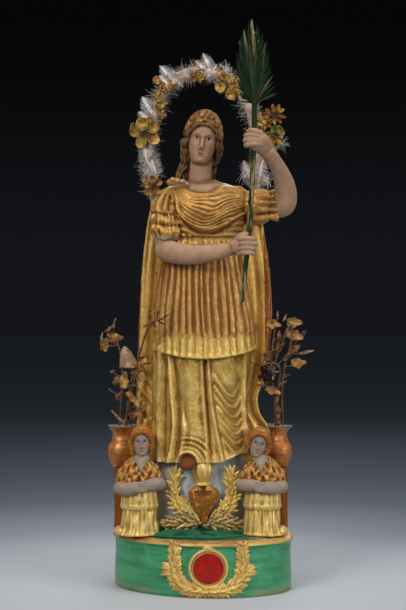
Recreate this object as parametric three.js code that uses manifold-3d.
// A painted and gilt plaster saint on a bow-fronted plinth, with two angels, two vases of dried
// sprays, a flaming heart, a palm and a hoop of flowers behind the head.
// Millimetres, +Z up, the front faces -Y, the origin is on the underside below the figure's axis.
import * as THREE from 'three';
import { mergeVertices } from 'three/addons/utils/BufferGeometryUtils.js';
import Module from 'manifold-3d';

const wasm = await Module();
wasm.setup();

// Driving dimensions
const plinthHalfWidth = 79;
const plinthFrontDepth = 68;
const plinthBackDepth = 38;
const plinthCentreX = -1.4;
const plinthSkew = 0.15;
const rimHeight = 47;
const rimBulge = 1.6;
const groundHeight = 49;
const fitGap = 0.3;

const medallionCentre = [3.8, 25.5];
const medallionRadius = 14.2;
const ringWidth = 3.2;
const ringRelief = 2.6;

const moundTop = 109;
const hemHeight = 107;
const tunicHemHeight = 207;
const waistHeight = 311;
const necklineHeight = 360;
const headCentre = [-1, -9, 400];
const headTilt = THREE.MathUtils.degToRad(8);

const leftAngelX = -56.5;
const rightAngelX = 50;
const angelY = -28;
const postTopHeight = 106;
const leftVaseX = -74.5;
const rightVaseX = 67;
const vaseY = 2;
const vaseWall = 1.3;

const hoopRadius = 3.4;
const hoopY = 22;
const stemRadius = 2.3;

// Colours and surfaces
const gilt = { color: 0xc9a24a, roughness: 0.42, metalness: 0.7 };
const darkGilt = { color: 0x8f6a2c, roughness: 0.55, metalness: 0.5 };
const copperLustre = { color: 0xb5692f, roughness: 0.3, metalness: 0.7 };
const greenPaint = { color: 0x3f8f66, roughness: 0.45, metalness: 0 };
const redPaint = { color: 0xb3201a, roughness: 0.35, metalness: 0 };
const ribbonWhite = { color: 0xd9c9bd, roughness: 0.8, metalness: 0 };
const featherWhite = { color: 0xeeeeea, roughness: 0.9, metalness: 0 };
const palmGreen = { color: 0x24402c, roughness: 0.5, metalness: 0 };

// Solids from points
function shell(points, triangles) {
  const geometry = new THREE.BufferGeometry();
  geometry.setAttribute('position', new THREE.Float32BufferAttribute(points.flat(), 3));
  geometry.setIndex(triangles.flat());
  return geometry;
}

// A closed geometry as a solid. A skin that was wound inwards is turned to face out.
function solidOf(geometry) {
  const bare = geometry.clone();
  bare.deleteAttribute('normal');
  bare.deleteAttribute('uv');
  const merged = mergeVertices(bare, 1e-4);
  const vertProperties = merged.attributes.position.array;
  const triVerts = new Uint32Array(merged.index.array);
  const solid = new wasm.Manifold(new wasm.Mesh({ numProp: 3, vertProperties, triVerts }));
  if (solid.volume() > 0) return solid;
  return new wasm.Manifold(new wasm.Mesh({ numProp: 3, vertProperties, triVerts: triVerts.reverse() }));
}

function geometryOf(solid) {
  const mesh = solid.getMesh();
  const geometry = new THREE.BufferGeometry();
  geometry.setAttribute('position', new THREE.Float32BufferAttribute(mesh.vertProperties, mesh.numProp));
  geometry.setIndex(Array.from(mesh.triVerts));
  return geometry;
}

function joined(solids) {
  return solids.reduce((sum, solid) => sum.add(solid));
}

// A closed skin: rows of points from one end to the other, each end closed by a fan.
// pointAt(around, along) takes both values from 0 to 1 and runs anticlockwise seen from the far end.
function loft(rowCount, columnCount, pointAt) {
  const points = [];
  const triangles = [];
  for (let row = 0; row < rowCount; row++) {
    for (let column = 0; column < columnCount; column++) {
      points.push(pointAt(column / columnCount, row / (rowCount - 1)));
    }
  }
  const at = (row, column) => row * columnCount + (column % columnCount);
  for (let row = 0; row + 1 < rowCount; row++) {
    for (let column = 0; column < columnCount; column++) {
      triangles.push([at(row, column), at(row, column + 1), at(row + 1, column + 1)]);
      triangles.push([at(row, column), at(row + 1, column + 1), at(row + 1, column)]);
    }
  }
  const middleOf = (row) => {
    const sum = [0, 0, 0];
    for (let column = 0; column < columnCount; column++) {
      points[at(row, column)].forEach((value, axis) => { sum[axis] += value / columnCount; });
    }
    return sum;
  };
  const first = points.push(middleOf(0)) - 1;
  const last = points.push(middleOf(rowCount - 1)) - 1;
  for (let column = 0; column < columnCount; column++) {
    triangles.push([first, at(0, column + 1), at(0, column)]);
    triangles.push([last, at(rowCount - 1, column), at(rowCount - 1, column + 1)]);
  }
  return solidOf(shell(points, triangles));
}

// Interpolates a list of [height, value] pairs with an ease between each two.
function profile(pairs) {
  return (height) => {
    if (height <= pairs[0][0]) return pairs[0][1];
    for (let i = 1; i < pairs.length; i++) {
      const [h0, v0] = pairs[i - 1];
      const [h1, v1] = pairs[i];
      if (height <= h1) return THREE.MathUtils.lerp(v0, v1, THREE.MathUtils.smoothstep(height, h0, h1));
    }
    return pairs[pairs.length - 1][1];
  };
}

// An upright draped form: half widths and depths by height, and folds that push its skin out.
function drapedForm({ bottom, top, rows, columns, centreX, centreY, halfWidth, front, back, fold }) {
  return loft(rows, columns, (around, along) => {
    const height = THREE.MathUtils.lerp(bottom, top, along);
    const angle = around * 2 * Math.PI;
    const push = fold ? fold(angle > Math.PI ? angle - 2 * Math.PI : angle, height) : 0;
    const depth = Math.cos(angle) > 0 ? front(height) : back(height);
    return [
      centreX(height) + (halfWidth(height) + push) * Math.sin(angle),
      centreY(height) - (depth + push) * Math.cos(angle),
      height,
    ];
  });
}

function ball(centre, radii, across = 8, down = 6, turn = 0) {
  const geometry = new THREE.SphereGeometry(1, across, down).scale(...radii);
  geometry.rotateY(turn).translate(...centre);
  return solidOf(geometry);
}

// A limb with round ends that tapers from one point to another.
function limb(from, to, fromRadius, toRadius, sides = 6) {
  const start = new THREE.Vector3(...from);
  const end = new THREE.Vector3(...to);
  const length = start.distanceTo(end);
  const steps = 2;
  const outline = [];
  for (let i = 0; i <= steps; i++) {
    const angle = (i / steps) * Math.PI / 2;
    outline.push(new THREE.Vector2(fromRadius * Math.sin(angle), -fromRadius * Math.cos(angle)));
  }
  for (let i = 0; i <= steps; i++) {
    const angle = (i / steps) * Math.PI / 2;
    outline.push(new THREE.Vector2(toRadius * Math.cos(angle), length + toRadius * Math.sin(angle)));
  }
  outline[0].x = 0;
  outline[outline.length - 1].x = 0;
  const geometry = new THREE.LatheGeometry(outline, sides);
  const along = end.clone().sub(start).normalize();
  geometry.applyQuaternion(new THREE.Quaternion().setFromUnitVectors(new THREE.Vector3(0, 1, 0), along));
  geometry.translate(...from);
  return solidOf(geometry);
}

// A tube along a smooth curve through the given points.
function tube(route, radius, steps, sides = 6) {
  const section = new THREE.Shape();
  for (let i = 0; i < sides; i++) {
    const angle = (i / sides) * 2 * Math.PI;
    const move = i === 0 ? 'moveTo' : 'lineTo';
    section[move](radius * Math.cos(angle), radius * Math.sin(angle));
  }
  const path = new THREE.CatmullRomCurve3(route.map((point) => new THREE.Vector3(...point)));
  return solidOf(new THREE.ExtrudeGeometry(section, { steps, bevelEnabled: false, extrudePath: path }));
}

// A lozenge leaf of eight faces: its base, its direction, and the way its flat side looks.
function lozenge(base, direction, facing, length, width, thickness) {
  const along = new THREE.Vector3(...direction).normalize();
  const across = new THREE.Vector3(...facing).cross(along).normalize();
  const out = along.clone().cross(across).normalize();
  const geometry = new THREE.OctahedronGeometry(1).scale(width / 2, length / 2, thickness / 2);
  geometry.applyMatrix4(new THREE.Matrix4().makeBasis(across, along, out));
  geometry.translate(...new THREE.Vector3(...base).addScaledVector(along, length * 0.5).toArray());
  return solidOf(geometry);
}

// A small cupped flower of pointed petals with a raised middle, facing -Y.
function flower(centre, radius, petals) {
  const reaches = [0.3, 1, 0.5, 0.22];
  const depths = [0.05, 0.45, 0.3, 0.62];
  return loft(reaches.length, petals * 2, (around, along) => {
    const row = Math.round(along * (reaches.length - 1));
    const angle = around * 2 * Math.PI;
    const notch = Math.round(around * petals * 2) % 2 === 1 && row === 1 ? 0.6 : 1;
    const reach = radius * reaches[row] * notch;
    return [
      centre[0] + reach * Math.cos(angle),
      centre[1] - radius * depths[row],
      centre[2] + reach * Math.sin(angle),
    ];
  });
}

const meshes = new THREE.Group();

function add(name, solid, surface) {
  const mesh = new THREE.Mesh(geometryOf(solid), new THREE.MeshStandardMaterial(surface));
  mesh.name = name;
  meshes.add(mesh);
}

// Plinth: an uneven bow front and a flat back, with rounded back corners
function plinthPoint(around, grow) {
  const angle = around * 2 * Math.PI;
  const squareness = Math.cos(angle) > 0 ? 1 : 0.35;
  const sine = Math.sin(angle);
  const cosine = Math.cos(angle);
  const side = Math.sign(sine) * Math.abs(sine) ** squareness;
  const deep = Math.sign(cosine) * Math.abs(cosine) ** squareness;
  const depth = cosine > 0 ? plinthFrontDepth : plinthBackDepth;
  const x = (plinthHalfWidth + grow) * side;
  const y = -(depth + grow) * deep;
  const skew = plinthSkew * (1 - THREE.MathUtils.smoothstep(y, 0, plinthBackDepth));
  return [plinthCentreX + x, y - skew * x];
}

function plinthFrontY(x) {
  const across = (x - plinthCentreX) / plinthHalfWidth;
  return -plinthFrontDepth * Math.sqrt(1 - across * across) - plinthSkew * (x - plinthCentreX);
}

function plinthBlock() {
  const levels = [[0, 0], [rimHeight - 4.5, -0.4], [rimHeight - 3.2, rimBulge], [rimHeight - 0.8, rimBulge],
    [rimHeight, -1.5], [groundHeight, -11]];
  return loft(levels.length, 36, (around, along) => {
    const [height, grow] = levels[Math.round(along * (levels.length - 1))];
    return [...plinthPoint(around, grow), height];
  });
}

// A branch of paired leaves as one serrated band: the tip of each pair leans along the branch.
// place(across, height, out) puts a point of the branch's plane on what carries it.
function leafyBranch({ route, teeth, narrow, wide, lean, thickness, place }) {
  const curve = new THREE.CatmullRomCurve3(route.map(([across, height]) => new THREE.Vector3(across, height, 0)));
  return loft(teeth * 2 + 2, 4, (around, along) => {
    const row = Math.round(along * (teeth * 2 + 1));
    const tip = row % 2 === 1;
    const middle = curve.getPoint(Math.floor(row / 2) * 2 / (teeth * 2 + 1));
    const tangent = curve.getTangent(Math.floor(row / 2) * 2 / (teeth * 2 + 1));
    const angle = around * 2 * Math.PI;
    const reach = (tip ? wide : narrow) * Math.sin(angle);
    const forward = tip ? lean : 0;
    return place(
      middle.x - tangent.y * reach + tangent.x * forward,
      middle.y + tangent.x * reach + tangent.y * forward,
      thickness * (0.5 + 0.5 * Math.cos(angle)),
    );
  });
}

// The wreath is a U on the front: one half is worked out and the other mirrored.
function wreathHalf(side) {
  return leafyBranch({
    route: [[-1, 4.5], [13, 6.5], [25, 16], [30, 30], [29, 40]],
    teeth: 7, narrow: 4.2, wide: 7.4, lean: 5, thickness: 2.6,
    place: (across, height, out) => {
      const x = medallionCentre[0] + side * across;
      return [x, plinthFrontY(x) - out + 0.5, height];
    },
  });
}

function disc(radius, from, to, across = 24) {
  const geometry = new THREE.CylinderGeometry(radius, radius, to - from, across);
  geometry.translate(medallionCentre[0], -(from + to) / 2, medallionCentre[1]);
  return solidOf(geometry);
}

const frontOut = -plinthFrontY(medallionCentre[0]);
const ringOuter = disc(medallionRadius + ringWidth, frontOut - 4, frontOut + ringRelief);
const seat = disc(medallionRadius + fitGap, frontOut - 2.6, frontOut + ringRelief + 5);
const tabWidth = 8;
const tab = solidOf(new THREE.BoxGeometry(tabWidth, 5, 5).translate(
  medallionCentre[0], -frontOut + 0.8, medallionCentre[1] + medallionRadius + ringWidth + 1.2));
const floorCut = solidOf(new THREE.BoxGeometry(400, 400, 20).translate(0, 0, -10));
add('plinth', joined([plinthBlock(), wreathHalf(-1), wreathHalf(1), ringOuter, tab]).subtract(seat)
  .subtract(floorCut), greenPaint);
add('medallion', disc(medallionRadius, frontOut - 2.6 + fitGap, frontOut + 1.1), redPaint);

// Saint: skirt, tunic, bodice with its cowl, cloak, limbs, head, and the mound under her
function skirt() {
  const pleats = 7;
  return drapedForm({
    bottom: hemHeight, top: tunicHemHeight + 12, rows: 5, columns: 28,
    centreX: () => -3.5, centreY: () => 0,
    halfWidth: profile([[hemHeight, 46], [140, 42.5], [tunicHemHeight, 42]]),
    front: profile([[hemHeight, 33], [140, 29], [tunicHemHeight, 29]]),
    back: profile([[hemHeight, 24], [tunicHemHeight, 22]]),
    fold: (angle, height) => {
      const drift = (tunicHemHeight - height) / 260;
      const legs = 2.2 * Math.exp(-(((angle + 0.45) / 0.35) ** 2)) + 2.6 * Math.exp(-(((angle - 0.75) / 0.45) ** 2));
      return legs + 1.9 * Math.cos(pleats * (angle + drift * Math.sin(angle * 2)));
    },
  });
}

function tunic() {
  const pleats = 9;
  return drapedForm({
    bottom: tunicHemHeight - 1, top: waistHeight + 4, rows: 4, columns: 27,
    centreX: profile([[tunicHemHeight, 2.5], [waistHeight, -2]]), centreY: () => 0,
    halfWidth: profile([[tunicHemHeight, 46], [240, 42], [290, 34.5], [waistHeight, 33]]),
    front: profile([[tunicHemHeight, 37], [240, 33], [290, 28], [waistHeight, 26]]),
    back: profile([[tunicHemHeight, 24], [waistHeight, 20]]),
    fold: (angle, height) => (0.8 + (waistHeight - height) * 0.009) * Math.cos(pleats * angle + 0.6),
  });
}

function bodice() {
  return drapedForm({
    bottom: waistHeight - 4, top: necklineHeight + 5, rows: 9, columns: 18,
    centreX: () => -0.5, centreY: () => 1,
    halfWidth: profile([[waistHeight, 33], [335, 37], [350, 43], [357, 36], [necklineHeight + 5, 11]]),
    front: profile([[waistHeight, 26], [332, 29], [348, 25], [357, 18], [necklineHeight + 5, 9]]),
    back: profile([[waistHeight, 20], [340, 22], [352, 20], [necklineHeight + 5, 9]]),
    fold: (angle, height) => {
      const sag = 22 * Math.cos(Math.min(Math.abs(angle), Math.PI / 2)) ** 2;
      const chest = Math.exp(-((angle / 1.1) ** 2)) * THREE.MathUtils.smoothstep(height, 316, 326);
      return 1.5 * chest * Math.cos((height + sag) * 0.62);
    },
  });
}

function cloak() {
  const leftEdge = profile([[hemHeight, 58], [210, 59], [310, 54], [345, 47], [358, 32]]);
  const rightEdge = profile([[hemHeight, 49], [150, 53], [168, 49.5], [200, 58], [310, 58], [345, 51], [358, 34]]);
  const backDepth = profile([[hemHeight, 32], [220, 33], [320, 29], [345, 26], [358, 17]]);
  return loft(6, 15, (around, along) => {
    const height = THREE.MathUtils.lerp(hemHeight, 358, along);
    const angle = around * 2 * Math.PI;
    const sine = Math.sin(angle);
    const width = sine < 0 ? leftEdge(height) : rightEdge(height);
    const ripple = 1.2 * Math.cos(9 * angle) * (Math.cos(angle) < 0 ? 1 : 0);
    const depth = Math.cos(angle) > 0 ? 6 : backDepth(height) - 2 + ripple;
    return [width * sine, 2 - depth * Math.cos(angle), height];
  });
}

function mound() {
  const lumps = (angle, height) => 1.6 * Math.sin(5 * angle + height * 0.11) + 1.1 * Math.sin(9 * angle - height * 0.2);
  const rock = drapedForm({
    bottom: groundHeight + fitGap, top: moundTop + 3, rows: 4, columns: 15,
    centreX: () => -2, centreY: () => 3,
    halfWidth: profile([[groundHeight, 45], [60, 42], [90, 40], [moundTop, 38]]),
    front: profile([[groundHeight, 30], [62, 25], [90, 25], [moundTop, 24]]),
    back: profile([[groundHeight, 28], [moundTop, 24]]),
    fold: lumps,
  });
  const footSwell = drapedForm({
    bottom: groundHeight + fitGap, top: groundHeight + 6, rows: 3, columns: 12,
    centreX: () => -1, centreY: () => -4,
    halfWidth: profile([[groundHeight, 31], [groundHeight + 3, 27], [groundHeight + 6, 12]]),
    front: profile([[groundHeight, 38], [groundHeight + 3, 32], [groundHeight + 6, 14]]),
    back: () => 8,
    fold: (angle) => 0.6 * Math.sin(8 * angle),
  });
  return rock.add(footSwell);
}

function head() {
  const [x, y, z] = headCentre;
  const skull = ball([x, y, z], [12.8, 15.5, 21], 9, 7, headTilt);
  const jaw = ball([x - 1.6, y - 3, z - 9], [9.4, 10.5, 14], 7, 5, headTilt);
  const crown = ball([x + 1.6, y + 3, z + 3], [17, 17, 21], 9, 6, headTilt);
  const neck = limb([x - 2, y + 5, 356], [x - 1.4, y + 3, 384], 10.5, 8.5, 7);
  const locks = [-1, 1].map((side) => limb(
    [x + side * 13, y + 7, z - 6], [x - 1.5 + side * 15, y + 9, 360], 7.5, 6.5, 6));
  const band = new THREE.Shape();
  band.absellipse(0, 0, 18.5, 25, 0, Math.PI, false, 0);
  band.absellipse(0, 0, 13.6, 15, Math.PI, 0, true, 0);
  const tiara = new THREE.ExtrudeGeometry(band, { depth: 8, bevelEnabled: false, curveSegments: 4 });
  tiara.rotateX(Math.PI / 2 + 0.12).rotateY(headTilt).translate(x + 0.6, y - 3, z + 1.5);
  return joined([skull, jaw, crown, neck, ...locks, solidOf(tiara)]);
}

function fingers(base, step, curl, count, radius) {
  const solids = [];
  for (let i = 0; i < count; i++) {
    const from = base.map((value, axis) => value + step[axis] * i);
    const to = from.map((value, axis) => value + curl[axis]);
    solids.push(limb(from, to, radius, radius * 0.85, 4));
  }
  return joined(solids);
}

function arms() {
  const elbow = [-35.5, -20, 301];
  const wrist = [27, -47, 304];
  const fist = [35.5, -50.5, 305];
  const raisedElbow = [75.5, -12, 338.5];
  const raisedWrist = [58, -38, 386];
  const raisedPalm = [48.5, -50, 394.5];
  return joined([
    ball([-37, -8, 331], [13.5, 16, 24], 8, 6),
    limb([-37, -8, 330], elbow, 11, 9.5),
    limb(elbow, wrist, 9.8, 5.4),
    ball(fist, [7.4, 7.2, 7.6]),
    fingers([31.5, -56, 309.5], [0.1, 0, -4.2], [5.5, -2.4, -0.6], 3, 2.3),
    ball([50, -5, 343], [16, 14.5, 15], 8, 6),
    limb([50, -6, 345], raisedElbow, 11, 9.6),
    limb(raisedElbow, raisedWrist, 9.6, 6),
    limb(raisedWrist, raisedPalm, 6, 6.2),
    fingers([48, -53.5, 402.5], [-0.2, 0.3, -3.9], [-9.5, -1.5, 0.2], 4, 2.3),
  ]);
}

function foot() {
  return limb([-12, -22, 111], [-13.5, -37, 110.6], 5.4, 5.2, 8);
}

// Palm: a stem through both hands and a pleated leaf above
const palmRoute = [[33.2, -56, 256], [38.2, -55, 305], [41.2, -52, 345], [43.4, -48.5, 393], [44.2, -49.5, 432]];

function palmLeaf() {
  const bottom = 424;
  const top = 501;
  const ribs = 7;
  const halfWidth = profile([[bottom, 2.4], [440, 17], [462, 16], [485, 8.5], [top, 0.6]]);
  return loft(6, ribs * 2, (around, along) => {
    const height = THREE.MathUtils.lerp(bottom, top, along);
    const front = around < 0.5;
    const across = front ? 1 - around * 4 : around * 4 - 3;
    const pleat = 1.1 * (Math.round(around * ribs * 2) % 2 === 0 ? 1 : -1) * (1 - along);
    const centreX = 44.8 - 3 * along;
    const side = front ? -1 : 1;
    return [centreX + across * halfWidth(height), -49.8 + pleat + side * 0.9, height];
  });
}

const saintBody = joined([mound(), skirt(), tunic(), bodice(), cloak(), head(), arms(), foot()]);
add('saint', saintBody.subtract(tube(palmRoute, stemRadius + fitGap + 0.4, 6, 7)), gilt);
add('palm', tube(palmRoute, stemRadius, 6, 5).add(palmLeaf()), palmGreen);

// Flaming heart between two olive branches, one moulding laid against the mound
function flamingHeart() {
  const heartY = -31;
  const outline = new THREE.Shape();
  outline.moveTo(0, -14);
  outline.bezierCurveTo(9, -8, 12, -2, 11, 4);
  outline.bezierCurveTo(10, 11, 3, 11, 0, 7);
  outline.bezierCurveTo(-3, 11, -10, 11, -11, 4);
  outline.bezierCurveTo(-12, -2, -9, -8, 0, -14);
  const bevel = { bevelThickness: 4, bevelSize: 2.6, bevelSegments: 2, curveSegments: 4 };
  const heart = new THREE.ExtrudeGeometry(outline, { depth: 6, ...bevel });
  heart.rotateX(Math.PI / 2).translate(0.3, heartY + 1, 84);
  const parts = [
    solidOf(heart),
    limb([0.2, heartY + 1, 74], [0.2, heartY + 1, 58], 5, 3, 6),
    loft(3, 12, (around, along) => {
      const angle = around * 2 * Math.PI;
      const reach = (4.6 + 4.6 * along) * (1 + 0.12 * Math.cos(6 * angle));
      return [-1 + reach * Math.sin(angle), heartY - 0.5 - reach * 0.62 * Math.cos(angle), 94 + 18 * along];
    }),
  ];
  for (const side of [-1, 1]) {
    const branch = { teeth: 6, narrow: 2.4, wide: 6.4, lean: 6, thickness: 4 };
    parts.push(leafyBranch({
      ...branch,
      route: [[0.5, 59], [13, 63], [20.5, 78], [22, 98]],
      place: (across, height, out) => [side * across, heartY - 0.5 - out, height],
    }));
    parts.push(lozenge([side * 6, -33, 58], [side, 0, 0.1], [0, -1, 0], 26, 5, 4));
  }
  return joined(parts);
}

const gapAhead = saintBody.translate([0, -fitGap, 0]);
const gapAbove = saintBody.translate([0, 0, fitGap]);
add('flaming_heart', flamingHeart().subtract(gapAhead).subtract(gapAbove), gilt);

// Angels: a two-tier tunic, a cape, folded forearms, a bobbed head, and the post behind
function angel(x, headOffset, postX, lean) {
  const base = groundHeight + fitGap;
  const tier = (bottom, top, lowWidth, highWidth, depth, rows) => drapedForm({
    bottom, top, rows, columns: 12,
    centreX: () => x, centreY: () => angelY,
    halfWidth: profile([[bottom, lowWidth], [top, highWidth]]),
    front: profile([[bottom, depth], [top, depth - 2]]),
    back: profile([[bottom, depth], [top, depth - 2]]),
    fold: (angle) => 0.7 * Math.cos(9 * angle),
  });
  const postFloor = base;
  const postWidth = 19;
  const postDepth = 28;
  const post = new THREE.BoxGeometry(postWidth, postDepth, postTopHeight - postFloor);
  post.translate(postX, vaseY + 10.5 - postDepth / 2, (postFloor + postTopHeight) / 2);
  const headAt = [x + headOffset, angelY + 1, 133];
  return joined([
    tier(base, 74, 18.5, 16, 14, 3),
    tier(72, 96, 17.5, 15, 14.5, 3),
    drapedForm({
      bottom: 93, top: 121, rows: 4, columns: 10,
      centreX: () => x, centreY: () => angelY,
      halfWidth: profile([[93, 21], [104, 21], [114, 15], [121, 6]]),
      front: profile([[93, 14], [104, 14.5], [114, 11], [121, 6]]),
      back: profile([[93, 13], [104, 13], [114, 10], [121, 6]]),
      fold: (angle, height) => 0.6 * Math.cos(7 * angle + height * 0.5),
    }),
    limb([x - 16, angelY - 9, 93.5], [x + 8, angelY - 16, 92], 5.4, 4.4, 5),
    limb([x + 16, angelY - 9, 95], [x - 8, angelY - 15, 96], 5.4, 4.4, 5),
    limb([x, angelY, 114], [headAt[0], headAt[1], 126], 6, 5.2, 5),
    ball([headAt[0], headAt[1] - 1.5, headAt[2] - 1], [8.6, 9.4, 12], 7, 5, lean),
    ball([headAt[0], headAt[1] + 1.5, headAt[2] + 3], [11.6, 11, 11.6], 7, 5, lean),
    solidOf(post),
  ]);
}

add('angel_left', angel(leftAngelX, -0.5, leftVaseX + 3.5, 0), gilt);
add('angel_right', angel(rightAngelX, 0.5, rightVaseX + 0.5, -0.2), gilt);

// Vases: thrown walls of even thickness, open at the mouth
function vase(x) {
  const floor = postTopHeight + fitGap;
  const outside = [[8, 0], [11.4, 6], [12, 12], [10.6, 19], [8.2, 25], [9, 32], [12.6, 37.5]];
  const outline = [new THREE.Vector2(0, 0)];
  for (const [radius, height] of outside) outline.push(new THREE.Vector2(radius, height));
  for (const [radius, height] of outside.slice(1).reverse()) {
    outline.push(new THREE.Vector2(radius - vaseWall, height + vaseWall * 0.35));
  }
  outline.push(new THREE.Vector2(0, 2 + vaseWall * 0.35));
  const geometry = new THREE.LatheGeometry(outline, 12);
  geometry.rotateX(Math.PI / 2).translate(x, vaseY, floor);
  return solidOf(geometry);
}

add('vase_left', vase(leftVaseX), copperLustre);
add('vase_right', vase(rightVaseX), copperLustre);

// Sprays: a bent stem from the bottom of a vase, with leaves on short twigs
function spray(vaseX, slot, bend, leaves) {
  const bottom = postTopHeight + 6;
  const startX = vaseX + slot[0];
  const startY = vaseY + slot[1];
  const route = [[startX, startY, bottom], [startX, startY, bottom + 30],
    ...bend.map(([across, deep, height]) => [vaseX + across, vaseY + deep, height])];
  const curve = new THREE.CatmullRomCurve3(route.map((point) => new THREE.Vector3(...point)));
  const parts = [tube(route, 0.9, 7, 4)];
  for (const [along, across, rise, length, width] of leaves) {
    const knot = curve.getPoint(along * 0.99);
    const tip = [knot.x + across, knot.y - Math.abs(across) * 0.2, knot.z + rise];
    const direction = [across, -Math.abs(across) * 0.2, rise];
    const twigLength = Math.hypot(...direction) + 3;
    parts.push(lozenge(knot.toArray(), direction, [0.2, -1, 0.1], twigLength, 1.6, 1.4));
    parts.push(lozenge(tip, direction, [0.2, -1, 0.1], length, width, 1.6));
  }
  return joined(parts);
}

const leftSprays = [
  [[-4.2, 1.2], [[-9, -6, 178], [-17, -8, 205], [-13, -8, 226]],
    [[0.62, -4, 5, 9, 8], [0.76, 5, 4, 10, 9], [0.86, -4, 4, 10, 10], [0.93, 6, 2, 11, 11], [1, 1, 3, 11, 10]]],
  [[4.2, 1.2], [[5, -6, 172], [2, -9, 192], [6, -9, 206]],
    [[0.6, 6, 4, 11, 8], [0.72, -6, 3, 9, 7], [0.84, 6, 1, 12, 9], [1, 2, 4, 14, 10]]],
  [[0, 4.6], [[9, 0, 184], [21, -14, 222], [33, -32, 248]],
    [[0.66, 4, 5, 8, 4], [0.78, -4, 4, 8, 4], [0.9, 4, 3, 8, 4], [1, 2, 4, 8, 4]]],
];
const rightSprays = [
  [[-4.2, 1.2], [[-3, -6, 172], [-7, -9, 195], [-6, -9, 224]],
    [[0.6, -6, 5, 10, 9], [0.72, 6, 3, 9, 7], [0.84, -4, 5, 10, 8], [1, 1, 4, 11, 11]]],
  [[4.2, 1.2], [[8, -5, 172], [14, -8, 200], [13, -8, 228]],
    [[0.62, 6, 4, 9, 8], [0.74, -5, 4, 9, 7], [0.85, 7, 2, 10, 9], [0.93, -5, 3, 9, 9], [1, 1, 3, 10, 11]]],
  [[0, 4.6], [[2, 2, 176], [4, -2, 205], [20, -6, 210]],
    [[0.64, -5, 4, 8, 6], [0.8, 4, 5, 9, 8], [0.92, 4, 4, 9, 8], [1, 5, -2, 10, 9]]],
];
leftSprays.forEach(([slot, bend, leaves], i) => {
  add(`spray_left_${i + 1}`, spray(leftVaseX, slot, bend, leaves), darkGilt);
});
rightSprays.forEach(([slot, bend, leaves], i) => {
  add(`spray_right_${i + 1}`, spray(rightVaseX, slot, bend, leaves), darkGilt);
});

// Halo: the hoop, its flowers and its feathers
const hoopRoute = [[-44, 31, 335], [-47.5, 27, 358], [-50, hoopY, 388], [-47, hoopY, 421], [-34, hoopY, 451],
  [-8, hoopY, 466], [22, hoopY, 457], [43, hoopY, 430], [50, hoopY, 398], [48, 27, 358], [44, 31, 335]];
const gapBehind = saintBody.translate([0, fitGap, 0]);
add('halo_hoop', tube(hoopRoute, hoopRadius, 22, 6).subtract(gapBehind), ribbonWhite);

// Each flower: its centre, radius and petals. Its back rests on the front of the hoop.
const flowerY = hoopY - hoopRadius - fitGap;
const flowers = [[-54, 408, 13, 5], [-48, 362, 7.5, 5], [-42, 440, 8, 6], [-6, 464, 6.5, 5], [24, 456, 8, 6],
  [50, 410, 7.5, 6], [63, 399, 9.5, 5], [59.5, 425, 9.5, 6]];
flowers.forEach(([x, z, radius, petals], i) => {
  add(`halo_flower_${i + 1}`, flower([x, flowerY, z], radius, petals), gilt);
});

// Each feather: the spot on the hoop that it is tied to, its direction, length and width.
const feathers = [[-25, 455, -0.7, 1, 22, 12], [-43, 430, -1, 0.6, 18, 12], [-51, 400, -0.35, -1, 34, 9],
  [-3, 464, -0.1, 1, 20, 5], [50, 392, 1, 0.35, 34, 12], [49, 384, -0.7, -1, 22, 10], [55, 378, 0.5, -1, 18, 9]];
feathers.forEach(([x, z, across, rise, length, width], i) => {
  const featherY = hoopY + hoopRadius + 1.4;
  add(`halo_feather_${i + 1}`, lozenge([x, featherY, z], [across, 0, rise], [0, -1, 0], length, width, 2), featherWhite);
});

export default meshes;
